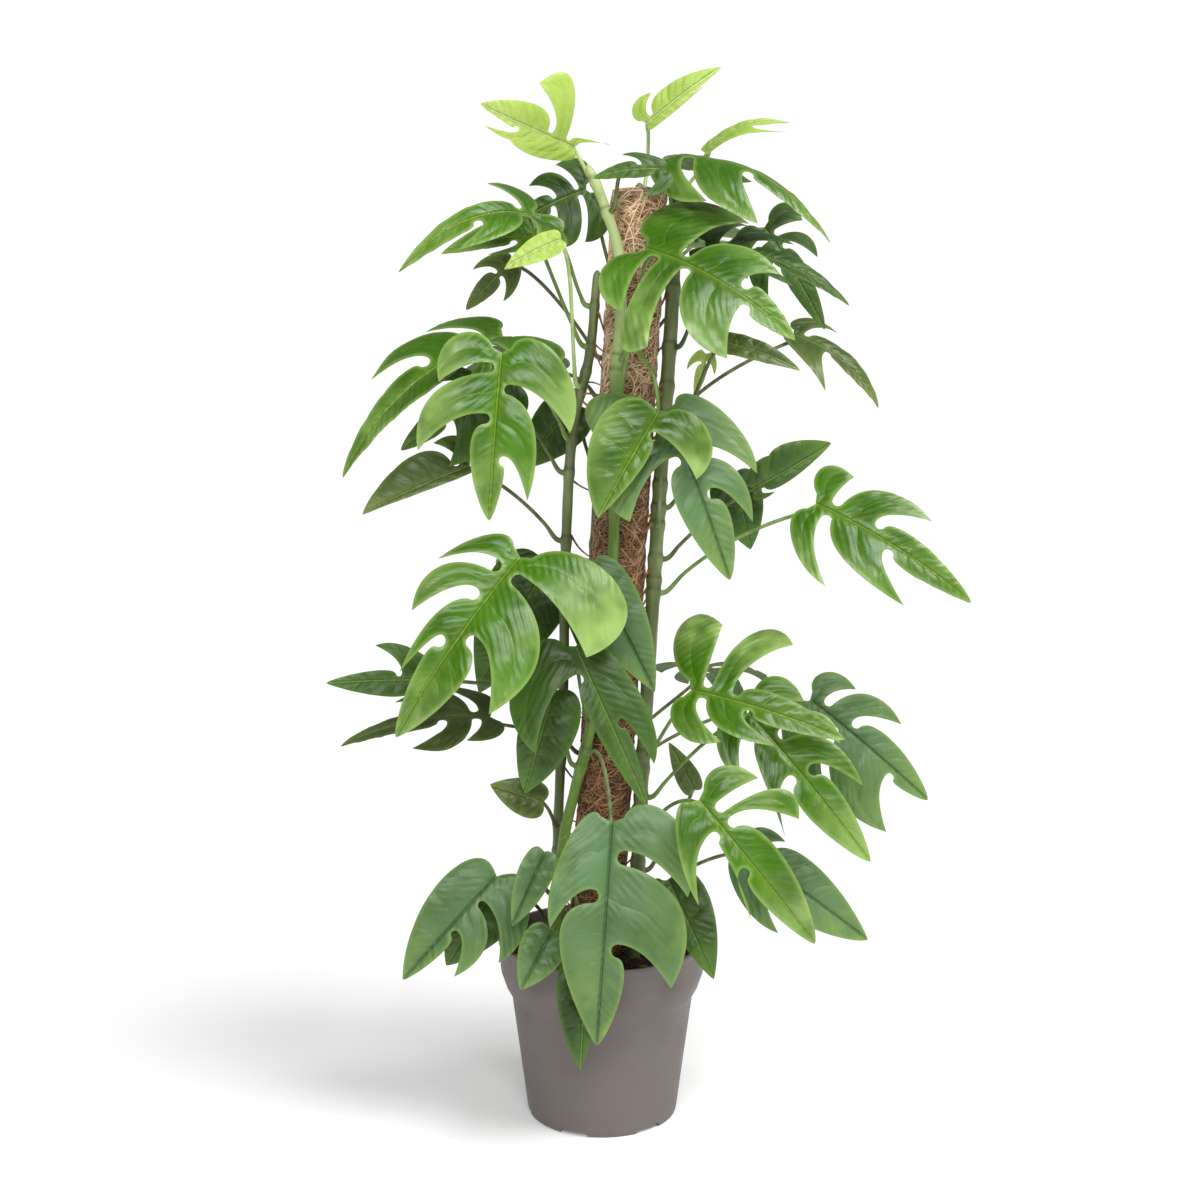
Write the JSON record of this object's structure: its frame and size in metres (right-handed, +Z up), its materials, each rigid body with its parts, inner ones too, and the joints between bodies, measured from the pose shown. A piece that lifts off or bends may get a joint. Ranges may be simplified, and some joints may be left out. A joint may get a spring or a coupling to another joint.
{
  "type": "mini monstera house plant on a coir pole",
  "caption": "Climbing aroid house plant with deeply split leaves, trained up a leaning coir pole in a round plastic nursery pot.",
  "frame": {"origin": "middle of the pot's underside, on the surface it stands on", "axes": "+Z up through the middle of the pot, -Y towards the front, where most leaves face"},
  "size_m": [0.56, 0.3374, 0.936],
  "materials": {
    "pot_plastic": "satin moulded taupe plastic",
    "potting_soil": "crumbly dark brown potting mix",
    "coir_fibre": "coarse reddish brown coconut fibre",
    "stake_wood": "plain turned softwood",
    "stem_green": "ringed green stem",
    "stem_pale": "smooth pale young stem",
    "leaf_bright": "glossy fresh green leaf",
    "leaf_deep": "glossy dark green leaf",
    "leaf_grey": "satin grey green leaf",
    "leaf_olive": "satin olive green leaf",
    "leaf_lime": "soft young lime green leaf"
  },
  "bodies": {
    "root": {"pot": "pot_plastic", "soil": "potting_soil", "pole_coir": "coir_fibre", "pole_core": "stake_wood", "stem_right": "stem_green", "stem_front": "stem_pale", "stem_left": "stem_green", "stem_back": "stem_green", "stem_back_left": "stem_green", "leaf_01": "leaf_lime", "leaf_02": "leaf_bright", "leaf_03": "leaf_deep", "leaf_04": "leaf_lime", "leaf_05": "leaf_olive", "leaf_06": "leaf_lime", "leaf_07": "leaf_lime", "leaf_08": "leaf_bright", "leaf_09": "leaf_deep", "leaf_10": "leaf_bright", "leaf_11": "leaf_deep", "leaf_12": "leaf_deep", "leaf_13": "leaf_olive", "leaf_14": "leaf_olive", "leaf_15": "leaf_lime", "leaf_16": "leaf_bright", "leaf_17": "leaf_bright", "leaf_18": "leaf_deep", "leaf_19": "leaf_olive", "leaf_20": "leaf_deep", "leaf_21": "leaf_bright", "leaf_22": "leaf_grey", "leaf_23": "leaf_deep", "leaf_24": "leaf_bright", "leaf_25": "leaf_bright", "leaf_26": "leaf_grey", "leaf_27": "leaf_deep", "leaf_28": "leaf_deep", "leaf_29": "leaf_olive", "leaf_30": "leaf_deep", "leaf_31": "leaf_olive", "leaf_32": "leaf_bright", "leaf_33": "leaf_bright", "leaf_34": "leaf_grey", "leaf_35": "leaf_bright", "leaf_36": "leaf_grey", "leaf_37": "leaf_olive", "leaf_38": "leaf_deep", "leaf_39": "leaf_grey", "leaf_40": "leaf_grey", "leaf_41": "leaf_grey", "leaf_42": "leaf_grey", "leaf_43": "leaf_deep", "leaf_44": "leaf_bright", "leaf_45": "leaf_deep", "leaf_46": "leaf_deep", "leaf_47": "leaf_deep", "leaf_48": "leaf_bright", "leaf_49": "leaf_deep", "leaf_50": "leaf_bright", "leaf_51": "leaf_deep"}
  },
  "joints": []
}
